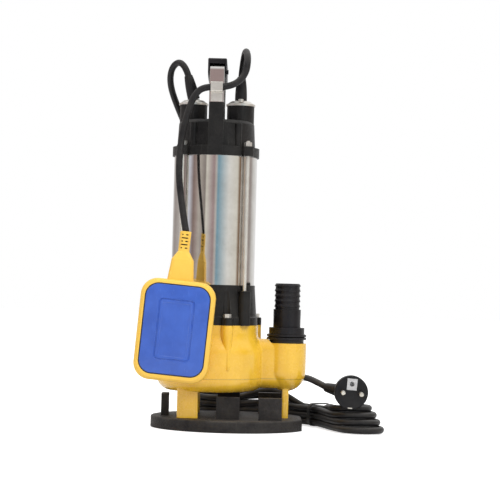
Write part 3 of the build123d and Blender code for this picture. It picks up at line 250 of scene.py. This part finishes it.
def buildDust():
    # Faces that look up catch dust, thicker where soft noise is high.
    tree, start, end = socketGroup("dust", {"Vector": None, "Amount": 0.3, "Scale": 40.0},
                                   {"Mask": "Float"})
    true = addNode(tree, "ShaderNodeNewGeometry")
    split = addNode(tree, "ShaderNodeSeparateXYZ")
    upward = addNode(tree, "ShaderNodeMapRange", From_Min=-0.3, From_Max=0.9, To_Min=0.15)
    noise = addNode(tree, "ShaderNodeTexNoise", Detail=6.0, Roughness=0.65)
    patch = addNode(tree, "ShaderNodeMapRange", From_Min=0.35, From_Max=0.7)
    both = addNode(tree, "ShaderNodeMath", operation="MULTIPLY")
    level = addNode(tree, "ShaderNodeMath", operation="MULTIPLY")
    join(tree, (true.outputs["Normal"], split.inputs[0]), (split.outputs["Z"], upward.inputs["Value"]),
         (start.outputs["Vector"], noise.inputs["Vector"]), (start.outputs["Scale"], noise.inputs["Scale"]),
         (noise.outputs[0], patch.inputs["Value"]), (upward.outputs[0], both.inputs[0]),
         (patch.outputs[0], both.inputs[1]), (both.outputs[0], level.inputs[0]),
         (start.outputs["Amount"], level.inputs[1]), (level.outputs[0], end.inputs["Mask"]))
    return tree


def buildScratches():
    # Noise stretched twentyfold along one way, cut to its crests, gives short fine lines.
    tree, start, end = socketGroup("scratches", {"Vector": None, "Scale": 60.0, "Amount": 0.3},
                                   {"Mask": "Float"})
    stretch = addNode(tree, "ShaderNodeMapping")
    stretch.inputs["Scale"].default_value = (20.0, 20.0, 1.0)
    stretch.inputs["Rotation"].default_value = (0.3, 0.5, 0.2)
    noise = addNode(tree, "ShaderNodeTexNoise", Detail=2.0)
    crest = addNode(tree, "ShaderNodeMapRange", From_Min=0.66, From_Max=0.72)
    level = addNode(tree, "ShaderNodeMath", operation="MULTIPLY")
    join(tree, (start.outputs["Vector"], stretch.inputs["Vector"]),
         (stretch.outputs[0], noise.inputs["Vector"]), (start.outputs["Scale"], noise.inputs["Scale"]),
         (noise.outputs[0], crest.inputs["Value"]),
         (crest.outputs[0], level.inputs[0]), (start.outputs["Amount"], level.inputs[1]),
         (level.outputs[0], end.inputs["Mask"]))
    return tree


grain = buildGrain()
edgeWear = buildEdgeWear()
dust = buildDust()
scratches = buildScratches()


def tone(red, green, blue):
    # A colour as a screen shows it, 0 to 255, turned into the linear light that shaders use.
    return (*[(part / 255) ** 2.2 for part in (red, green, blue)], 1)


def useGroup(tree, group, vector, **values):
    node = addNode(tree, "ShaderNodeGroup", node_tree=group)
    for name, value in values.items():
        node.inputs[name].default_value = value
    tree.links.new(vector, node.inputs["Vector"])
    return node


def mixColors(tree, factor, first, second):
    # first and second are either a colour or another node's output.
    node = addNode(tree, "ShaderNodeMix", data_type="RGBA")
    tree.links.new(factor, node.inputs[0])
    for index, value in ((6, first), (7, second)):
        if isinstance(value, tuple):
            node.inputs[index].default_value = value
        else:
            tree.links.new(value, node.inputs[index])
    return node.outputs[2]


# What a finish has unless it says otherwise; the first seam key is the height in metres of a painted shade
# line along a casting's parting ridge, or 0 for none.
plainLook = {"metal": 0.0, "coat": 0.0, "coatRough": 0.1, "sheen": 0.0, "specular": 0.5,
             "grainScale": 300.0, "relief": 0.15, "reliefDepth": 0.0004, "mottle": 60.0,
             "wear": 0.4, "wearRadius": 0.0007, "dust": 0.15, "dustColor": tone(176, 170, 160),
             "scratch": 0.15, "scratchScale": 40.0, "rough": (0.35, 0.5),
             "seamShadeHeight": 0.0, "seamShadeHalf": 0.00035, "paintedSeamShade": 0.55}


def makeFinish(name, look):
    # Colour: two tones mixed by broad mottling, then worn at edges, scratched, darkened along a painted shade
    # line where asked, and dusted.
    # Roughness follows the grain; the grain's relief is the normal.
    look = {**plainLook, **look}
    material = bpy.data.materials.new(name)
    material.use_nodes = True
    tree = material.node_tree
    shader = tree.nodes["Principled BSDF"]
    shader.inputs["Metallic"].default_value = look["metal"]
    shader.inputs["Coat Weight"].default_value = look["coat"]
    shader.inputs["Coat Roughness"].default_value = look["coatRough"]
    shader.inputs["Sheen Weight"].default_value = look["sheen"]
    shader.inputs["Specular IOR Level"].default_value = look["specular"]
    place = addNode(tree, "ShaderNodeTexCoord").outputs["Object"]
    mottle = addNode(tree, "ShaderNodeTexNoise", Scale=look["mottle"], Detail=5.0, Roughness=0.6)
    spread = addNode(tree, "ShaderNodeMapRange", From_Min=0.35, From_Max=0.65)
    texture = useGroup(tree, grain, place, Scale=look["grainScale"], Strength=look["relief"],
                       Distance=look["reliefDepth"])
    worn = useGroup(tree, edgeWear, place, Radius=look["wearRadius"], Amount=look["wear"])
    dusty = useGroup(tree, dust, place, Amount=look["dust"])
    scratched = useGroup(tree, scratches, place, Amount=look["scratch"], Scale=look["scratchScale"])
    join(tree, (place, mottle.inputs["Vector"]), (mottle.outputs[0], spread.inputs["Value"]))
    color = mixColors(tree, spread.outputs[0], look["color"], look["second"])
    color = mixColors(tree, scratched.outputs[0], color, look["worn"])
    color = mixColors(tree, worn.outputs[0], color, look["worn"])
    if look["seamShadeHeight"]:
        # The ridge of the casting's parting line is drawn as painted shade: a fine dark line of paint at one
        # height.
        heights = addNode(tree, "ShaderNodeSeparateXYZ")
        line = addNode(tree, "ShaderNodeMath", operation="COMPARE")
        line.inputs[1].default_value = look["seamShadeHeight"]
        line.inputs[2].default_value = look["seamShadeHalf"]
        paintedShade = (*[part * look["paintedSeamShade"] for part in look["color"][:3]], 1)
        join(tree, (place, heights.inputs[0]), (heights.outputs["Z"], line.inputs[0]))
        color = mixColors(tree, line.outputs[0], color, paintedShade)
    color = mixColors(tree, dusty.outputs[0], color, look["dustColor"])
    rough = addNode(tree, "ShaderNodeMapRange", From_Min=0.3, From_Max=0.7,
                    To_Min=look["rough"][0], To_Max=look["rough"][1])
    dull = addNode(tree, "ShaderNodeMath", operation="ADD", use_clamp=True)
    join(tree, (texture.outputs["Value"], rough.inputs["Value"]), (rough.outputs[0], dull.inputs[0]),
         (dusty.outputs[0], dull.inputs[1]), (dull.outputs[0], shader.inputs["Roughness"]),
         (color, shader.inputs["Base Color"]), (texture.outputs["Normal"], shader.inputs["Normal"]))
    return material


# One look for each finish of the record; colours are as the object shows them in even light.
finishLooks = {
    "base_iron": {"color": tone(38, 35, 36), "second": tone(22, 21, 22), "worn": tone(112, 106, 102),
                  "rough": (0.36, 0.62), "grainScale": 520.0, "relief": 0.8, "reliefDepth": 0.001,
                  "wear": 0.5, "dust": 0.16, "mottle": 400.0, "specular": 0.3},
    # The volute paint carries a painted shade line along its parting ridge, 53.5 mm up.
    "volute_paint": {"color": tone(236, 188, 58), "second": tone(230, 180, 50), "worn": tone(220, 168, 48),
                     "rough": (0.2, 0.32), "coat": 0.7, "grainScale": 90.0, "relief": 0.2,
                     "reliefDepth": 0.001, "wear": 0.3, "dust": 0.05, "scratch": 0.05, "seamShadeHeight": 0.0535},
    "black_casting": {"color": tone(22, 21, 22), "second": tone(14, 14, 15), "worn": tone(92, 90, 88),
                      "rough": (0.28, 0.5), "grainScale": 480.0, "relief": 0.6, "reliefDepth": 0.0008,
                      "wear": 0.5, "dust": 0.08, "specular": 0.32},
    "polished_steel": {"color": tone(226, 224, 221), "second": tone(214, 211, 207),
                       "worn": tone(240, 240, 240), "metal": 1.0, "rough": (0.06, 0.11),
                       "grainScale": 25.0, "relief": 0.02, "reliefDepth": 0.0006, "wear": 0.2,
                       "dust": 0.02, "scratch": 0.08},
    "zinc_steel": {"color": tone(232, 229, 222), "second": tone(218, 214, 206), "worn": tone(242, 240, 234),
                   "metal": 0.82, "rough": (0.26, 0.38), "grainScale": 500.0, "relief": 0.06,
                   "reliefDepth": 0.0002, "dust": 0.03, "scratch": 0.1},
    "black_plastic": {"color": tone(24, 22, 27), "second": tone(16, 15, 19), "worn": tone(84, 82, 88),
                      "rough": (0.26, 0.4), "grainScale": 900.0, "relief": 0.12, "reliefDepth": 0.0003,
                      "dust": 0.05, "specular": 0.32},
    "cord_rubber": {"color": tone(26, 25, 28), "second": tone(17, 17, 19), "worn": tone(92, 90, 92),
                    "rough": (0.3, 0.48), "grainScale": 800.0, "relief": 0.18, "reliefDepth": 0.0003,
                    "wear": 0.1, "dust": 0.1, "sheen": 0.02, "mottle": 90.0, "specular": 0.32},
    "seal_rubber": {"color": tone(26, 26, 32), "second": tone(18, 18, 23), "worn": tone(70, 70, 76),
                    "rough": (0.45, 0.6), "grainScale": 900.0},
    "float_yellow": {"color": tone(239, 193, 82), "second": tone(234, 186, 74), "worn": tone(248, 210, 120),
                     "rough": (0.32, 0.44), "grainScale": 700.0, "relief": 0.12, "reliefDepth": 0.0003,
                     "dust": 0.03, "scratch": 0.04},
    "float_blue": {"color": tone(58, 95, 186), "second": tone(50, 85, 172), "worn": tone(128, 158, 226),
                   "rough": (0.26, 0.42), "grainScale": 700.0, "relief": 0.3, "reliefDepth": 0.0004,
                   "dust": 0.03, "scratch": 0.1, "coat": 0.2, "coatRough": 0.25},
    "plug_black": {"color": tone(23, 23, 27), "second": tone(16, 16, 19), "worn": tone(84, 84, 90),
                   "rough": (0.3, 0.46), "grainScale": 900.0, "dust": 0.06, "specular": 0.32},
    "plug_nickel": {"color": tone(222, 218, 208), "second": tone(206, 202, 190), "worn": tone(240, 236, 226),
                    "metal": 1.0, "rough": (0.14, 0.24), "grainScale": 900.0, "relief": 0.05},
    "plug_grey": {"color": tone(190, 190, 192), "second": tone(176, 176, 178), "worn": tone(214, 214, 214),
                  "rough": (0.4, 0.5), "grainScale": 900.0},
    "inner_steel": {"color": tone(206, 206, 206), "second": tone(188, 188, 188), "worn": tone(230, 230, 230),
                    "metal": 1.0, "rough": (0.2, 0.32), "grainScale": 600.0},
    "core_steel": {"color": tone(118, 118, 122), "second": tone(98, 98, 102), "worn": tone(160, 160, 164),
                   "metal": 1.0, "rough": (0.38, 0.55), "grainScale": 500.0},
    "winding_copper": {"color": tone(196, 112, 62), "second": tone(172, 92, 46), "worn": tone(226, 150, 96),
                       "metal": 1.0, "rough": (0.25, 0.4), "grainScale": 400.0, "relief": 0.5},
    "impeller_iron": {"color": tone(92, 92, 94), "second": tone(74, 74, 76), "worn": tone(140, 140, 140),
                      "metal": 0.8, "rough": (0.45, 0.65), "grainScale": 400.0, "relief": 0.4},
    "seal_ceramic": {"color": tone(236, 232, 222), "second": tone(226, 222, 210), "worn": tone(246, 244, 238),
                     "rough": (0.2, 0.3)},
    "pale_plastic": {"color": tone(228, 224, 212), "second": tone(218, 213, 200), "worn": tone(240, 238, 230),
                     "rough": (0.4, 0.52)},
    "tie_nylon": {"color": tone(30, 31, 33), "second": tone(24, 25, 26), "worn": tone(92, 94, 96),
                  "rough": (0.35, 0.5), "grainScale": 600.0, "dust": 0.2},
}
finishes = {name: makeFinish(name, look) for name, look in finishLooks.items()}
for part in frame["record"]["subparts"]:
    for materialSlot in nodes[part["node"]].material_slots:
        materialSlot.material = finishes[part["material_slot"]]
print("finishes made:", len(finishes))

# Lengths in millimetres. The loop, tail, drop and lead go through the points of
# the cords' plain tubes in the part, with points of their own only where the hank begins.
cordSize = {"diameter": 7.0, "roundness": 5, "smoothness": 8}

floatLoopPoints = [(25.0, 0.0, 372.5), (26.0, 0.6, 386.5), (29.0, -23.0, 400.0), (32.0, -46.5, 387.0),
                   (29.5, -50.2, 368.0), (14.5, -50.0, 356.0), (0.35, -50.0, 356.0)]
floatTailPoints = [(0.0, -50.0, 356.0), (-13.0, -50.0, 356.0), (-23.0, -51.0, 347.5),
                   (-30.0, -52.5, 327.0), (-35.5, -55.0, 300.0), (-37.0, -60.0, 266.0),
                   (-32.5, -69.0, 233.0), (-27.0, -76.0, 204.6)]
powerDropPoints = [(-31.7, 0.0, 372.6), (-34.6, 0.8, 381.5), (-42.7, 9.0, 389.3), (-51.3, 18.0, 381.6),
                   (-52.3, 28.0, 364.0), (-42.0, 43.0, 338.0), (-24.0, 57.0, 300.0), (-13.0, 62.0, 250.0),
                   (-6.0, 64.0, 190.0), (0.0, 68.0, 135.0), (5.0, 84.0, 88.0), (8.0, 102.0, 52.0)]
# From the foot of the drop down into the hank, and from the hank's top turn to the plug.
powerEntryPoints = [(10.0, 109.5, 35.0), (16.0, 114.5, 20.5), (28.0, 117.0, 11.0), (44.0, 118.0, 5.5)]
powerLeadPoints = [(16.0, 136.0, 30.0), (35.0, 126.0, 30.5), (52.0, 112.0, 32.0), (72.0, 96.0, 38.0),
                   (88.0, 76.0, 50.0), (103.0, 48.0, 53.0), (116.0, 20.0, 48.5), (124.5, 7.8, 44.5)]

# The hank's middle line with the half width between its two sides, as (x, y, half width).
hankLine = [(-6.0, 116.0, 21.0), (30.0, 115.0, 18.5), (74.0, 99.0, 14.5), (112.0, 62.0, 8.0),
            (126.0, 38.0, 8.0), (140.0, 10.0, 15.5), (160.0, -28.0, 21.0)]
# Each turn from the floor up: how far along the line it reaches, its height at its ends and at
# the tie on the way out and back, the share of its half width that it keeps there, how far it
# fans out past the tie, and how high its sides arch before the tie.
hankTurns = [
    {"reach": (0.00, 1.00), "endHeight": 4.0, "tieHeights": (4.2, 4.2), "squeeze": 1.0, "fan": 0.0,
     "arch": (0.0, 0.0)},
    {"reach": (0.01, 0.955), "endHeight": 10.8, "tieHeights": (11.2, 11.2), "squeeze": 1.0, "fan": 2.0,
     "arch": (0.5, 1.5)},
    {"reach": (0.00, 0.91), "endHeight": 17.6, "tieHeights": (18.2, 18.2), "squeeze": 1.0, "fan": 4.5,
     "arch": (2.0, 4.0)},
    {"reach": (0.02, 0.86), "endHeight": 24.0, "tieHeights": (7.8, 14.8), "squeeze": 0.0, "fan": 7.0,
     "arch": (5.0, 12.0)},
]
# Folds are half circles; sides start and end short of them, by shares of the line's length.
# The first turn leaves out the first few points of its outer side, as many as lateStart.
hankFold = {"radius": 21.5, "flare": 0.10, "sidePoints": 10, "sideStart": 0.08, "sideEnd": 0.06,
            "lateStart": 3, "climb": (0.5, 6.0), "angles": (0.0, 36.0, 72.0, 108.0, 144.0, 180.0)}
hankTie = {"share": 0.585, "reach": 0.11, "squeezeReach": 0.20, "archShare": 0.34, "archReach": 0.12,
           "spread": 2.4, "spreadWay": (1.0, 0.45)}
hankStep = 20.0  # how far before and after a spot its way along the line is taken, in millimetres


def hankPlace(share):
    # The middle line at this share of its length: place, half width, way along, way outward.
    line = np.array(hankLine)
    run = np.concatenate([[0], np.cumsum(np.linalg.norm(np.diff(line[:, :2], axis=0), axis=1))])
    at = np.asarray(share) * run[-1]
    values = np.column_stack([np.interp(at, run, line[:, column]) for column in range(3)])
    ahead = np.column_stack([np.interp(at + hankStep, run, line[:, column]) for column in range(2)])
    behind = np.column_stack([np.interp(at - hankStep, run, line[:, column]) for column in range(2)])
    along = (ahead - behind) / np.linalg.norm(ahead - behind, axis=1)[:, None]
    outward = np.column_stack([-along[:, 1], along[:, 0]])
    return values[:, :2], values[:, 2], along, outward


def hankShift(share, turn):
    # Past the tie a turn lies further out, in proportion to the distance from the tie.
    past = np.clip(np.asarray(share) - hankTie["share"], 0, 1)
    return np.outer(past * hankTie["spread"] * turn["fan"], hankTie["spreadWay"])


def bell(share, middle, reach):
    # 1 at the middle, falling to e^-1 a reach away: exp(-((share - middle) / reach)^2).
    return np.exp(-((share - middle) / reach) ** 2)


def hankSide(turn, way):
    # A side is the middle line moved outward or inward by its half width, which flares to
    # the fold's radius. Near the tie it goes to its height and place in the bundle, and
    # before the tie it arches, all along bell curves.
    low, high = turn["reach"]
    share = np.linspace(low + hankFold["sideStart"], high - hankFold["sideEnd"], hankFold["sidePoints"])
    near = bell(share, hankTie["share"], hankTie["reach"])
    arch = bell(share, hankTie["archShare"], hankTie["archReach"])
    place, half, along, outward = hankPlace(share)
    half = half + (hankFold["radius"] - half) * bell(share, high, hankFold["flare"])
    half = half * (1 - bell(share, hankTie["share"], hankTie["squeezeReach"]) * (1 - turn["squeeze"]))
    height = turn["endHeight"] + (turn["tieHeights"][way] - turn["endHeight"]) * near
    place = place + outward * ((1 - 2 * way) * half)[:, None] + hankShift(share, turn)
    return np.column_stack([place, height + turn["arch"][way] * arch])


def hankFoldEnd(turn, share, sign):
    # A fold is a half circle about a point of the middle line, from the outer to the inner
    # side at the far end and back at the near end: place + radius * (outward cos + along sin).
    angles = np.radians(hankFold["angles"])
    place, _, along, outward = hankPlace(np.full(1, share))
    circle = sign * (outward * np.cos(angles)[:, None] + along * np.sin(angles)[:, None])
    spots = place + hankShift([share], turn) + circle * hankFold["radius"]
    return np.column_stack([spots, np.full(len(angles), turn["endHeight"])])


def hankTurn(turn):
    # Out along the outer side, round the far fold, back along the inner side and round the
    # near fold, which climbs to the next turn.
    low, high = turn["reach"]
    nearFold = hankFoldEnd(turn, low, -1.0)
    nearFold[:, 2] += np.linspace(*hankFold["climb"], len(nearFold))
    farFold = hankFoldEnd(turn, high, 1.0)
    return np.vstack([hankSide(turn, 0), farFold, hankSide(turn, 1)[::-1], nearFold])


def makeCord(name, points, material):
    # One open NURBS curve of order 3 that starts and ends on its end points.
    data = bpy.data.curves.new(name, "CURVE")
    data.dimensions = "3D"
    spline = data.splines.new("NURBS")
    spline.points.add(len(points) - 1)
    spots = np.column_stack([np.array(points) * mm, np.ones(len(points))])
    spline.points.foreach_set("co", spots.ravel())
    spline.order_u = 3
    spline.use_endpoint_u = True
    spline.resolution_u = cordSize["smoothness"]
    data.bevel_depth = cordSize["diameter"] * mm / 2
    data.bevel_resolution = cordSize["roundness"]
    data.use_fill_caps = True
    return addPiece(name, data, material)


def cordLength(piece):
    # The sum of the steps along the cord's own line, taken with no thickness on it.
    depth = piece.data.bevel_depth
    piece.data.bevel_depth = 0
    mesh = bpy.data.meshes.new_from_object(piece)
    piece.data.bevel_depth = depth
    line = np.zeros(len(mesh.vertices) * 3)
    mesh.vertices.foreach_get("co", line)
    bpy.data.meshes.remove(mesh)
    return float(np.linalg.norm(np.diff(line.reshape(-1, 3), axis=0), axis=1).sum())


def layCord(name, points, body, replaced):
    piece = makeCord(name, points, finishes["cord_rubber"])
    length = cordLength(piece)
    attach(piece, body)
    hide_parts(*replaced)
    print(name, "is", round(length, 3), "m long")


# The cord comes down between the sides of the lowest turn, which starts late on its outer side.
hankSpots = np.vstack([hankTurn(turn) for turn in hankTurns])[hankFold["lateStart"]:]
powerPoints = [*powerDropPoints, *powerEntryPoints, *hankSpots, *powerLeadPoints]

layCord("floatCordLoop", floatLoopPoints, "root", ["float_cord_loop"])
layCord("floatCordTail", floatTailPoints, "float", ["float_cord_tail"])
layCord("powerCord", powerPoints, "root", ["power_cord_drop", "power_cord_hank", "power_cord_lead"])


# The float leans, so its pieces are worked out in its own way across, up and forward.
floatFrame = {"centre": (-35.5, -76.0, 103.5), "lean": 4.8, "front": 17.0}
faceLook = {"halfWidth": 32.4, "halfHeight": 45.2, "corner": 13.0, "low": 0.9, "cornerPoints": 14,
            "cornerShrink": 0.62, "leastCorner": 3.0, "bottom": -4.0, "round": 0.5, "edge": 0.8,
            "band": 14.0, "top": 3.1, "step": 0.8, "line": 0.35, "sharp": 32}
borderLook = {"darkBeadWidth": 1.1, "darkBeadRise": 0.5, "darkBeadFoot": 0.1, "darkBeadBottom": -3.0, "rimWidth": 34.8,
              "rimHeight": 48.4, "rimLow": -0.5, "rimCorner": 2.0, "rimEdge": 0.4, "rimFoot": 0.05,
              "rimRise": 0.2, "rimBottom": -2.0, "sharp": 40}
coreLook = {"halfWidth": 3.9, "halfDepth": 4.35, "corner": 1.5, "cornerPoints": 5, "bottom": 83.5,
            "top": 99.5, "sharp": 32}


def roundedOutline(halfWidth, halfHeight, corner, count):
    # Four quarter circles, each its corner's centre plus corner * (cos, sin) of the angle,
    # joined by the straight sides.
    quarter = np.linspace(0, np.pi / 2, count)
    parts = []
    for index, (signX, signY) in enumerate(((1, 1), (-1, 1), (-1, -1), (1, -1))):
        angle = quarter + index * np.pi / 2
        parts.append(np.column_stack([signX * (halfWidth - corner) + corner * np.cos(angle),
                                      signY * (halfHeight - corner) + corner * np.sin(angle)]))
    return np.vstack(parts)


def floatPlace(across, up, forward):
    # The float's centre plus across along its right, up along its rise and forward ahead of it,
    # in the part's frame and in metres.
    lean = math.radians(floatFrame["lean"])
    right = np.array([math.cos(lean), 0, -math.sin(lean)])
    rise = np.array([math.sin(lean), 0, math.cos(lean)])
    ahead = np.array([0, -1.0, 0])
    spots = (np.array(floatFrame["centre"]) + across[..., None] * right + up[..., None] * rise
             + forward[..., None] * ahead)
    return spots * mm


def faceRing(halfWidth, halfHeight, corner, low, forward):
    # A rounded outline in front of the float, raised by low and forward of its face by forward.
    outline = roundedOutline(halfWidth, halfHeight, corner, faceLook["cornerPoints"])
    return floatPlace(outline[:, 0], outline[:, 1] + low,
                      np.full(len(outline), floatFrame["front"] + forward))


def addFloatPiece(name, rings, finish, sharp, closed=False):
    # rings is a list of outlines; neighbours are joined by quads. The last ring is joined to the
    # first in a closed band, and otherwise the two end rings are capped.
    rings = np.array(rings)
    count, around = rings.shape[:2]
    index = np.arange(count * around).reshape(count, around)
    beside = np.roll(index, -1, axis=1)
    above, besideAbove = np.roll(index, -1, axis=0), np.roll(beside, -1, axis=0)
    quads = np.stack([index, beside, besideAbove, above], axis=-1)
    caps = [] if closed else [index[0, ::-1].tolist(), index[-1].tolist()]
    walls = quads if closed else quads[:-1]
    mesh = bpy.data.meshes.new(name)
    mesh.from_pydata(rings.reshape(-1, 3).tolist(), [], walls.reshape(-1, 4).tolist() + caps)
    mesh.shade_smooth()
    mesh.set_sharp_from_angle(angle=math.radians(sharp))
    piece = addPiece(name, mesh, finishes[finish])
    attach(piece, "float")
    return piece


def buildFloatFace(look):
    # A raised cover: each ring is the outline drawn inward by a distance, at a height. The
    # height climbs along the sloping band, steps down into a line round the panel and up again.
    band, top, groove = look["band"], look["top"], look["top"] - look["step"]
    steps = [(0.0, look["bottom"]), (0.0, look["edge"] - look["round"]), (look["round"], look["edge"]),
             (band, top), (band + 0.5, groove), (band + 1.3, groove), (band + 1.8, top),
             (band + 4.0, top), (band + 4.4, top - look["line"]), (band + 5.2, top - look["line"])]
    rings = []
    for inset, rise in steps:
        corner = max(look["corner"] - inset * look["cornerShrink"], look["leastCorner"])
        rings.append(faceRing(look["halfWidth"] - inset, look["halfHeight"] - inset, corner,
                              look["low"], rise))
    face = addFloatPiece("floatFace", rings, "float_blue", look["sharp"])
    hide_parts("float_cover")


def buildFaceBorder(face, look):
    # A dark low bead runs round the cover, and a flat yellow rim lies round the bead.
    def grown(extra, forward):
        # The cover's outline, moved outward by extra.
        return faceRing(face["halfWidth"] + extra, face["halfHeight"] + extra,
                        face["corner"] + extra, face["low"], forward)

    def rimOutline(inset, forward):
        return faceRing(look["rimWidth"] - inset, look["rimHeight"] - inset,
                        face["corner"] + look["rimCorner"] - inset, look["rimLow"], forward)

    darkBead, foot, bottom = look["darkBeadWidth"], look["darkBeadFoot"], look["darkBeadBottom"]
    bead = [grown(darkBead, bottom), grown(darkBead, foot), grown(darkBead * 0.5, look["darkBeadRise"]),
            grown(-0.1, foot), grown(-0.1, bottom)]
    rim = [rimOutline(0, look["rimBottom"]), rimOutline(0, look["rimFoot"]),
           rimOutline(look["rimEdge"], look["rimRise"]), grown(darkBead, look["rimRise"]),
           grown(darkBead, look["rimBottom"])]
    addFloatPiece("faceDarkBead", bead, "seal_rubber", look["sharp"], closed=True)
    addFloatPiece("faceRim", rim, "float_yellow", look["sharp"], closed=True)


def buildReliefCore(look):
    # The black cord's sheath inside the float's strain relief, which shows through its slots.
    outline = roundedOutline(look["halfWidth"], look["halfDepth"], look["corner"], look["cornerPoints"])
    rings = [floatPlace(outline[:, 0], np.full(len(outline), height), outline[:, 1])
             for height in (look["top"], look["bottom"])]
    addFloatPiece("reliefCore", rings, "cord_rubber", look["sharp"])


buildFloatFace(faceLook)
buildFaceBorder(faceLook, borderLook)
buildReliefCore(coreLook)
print("float pieces built")
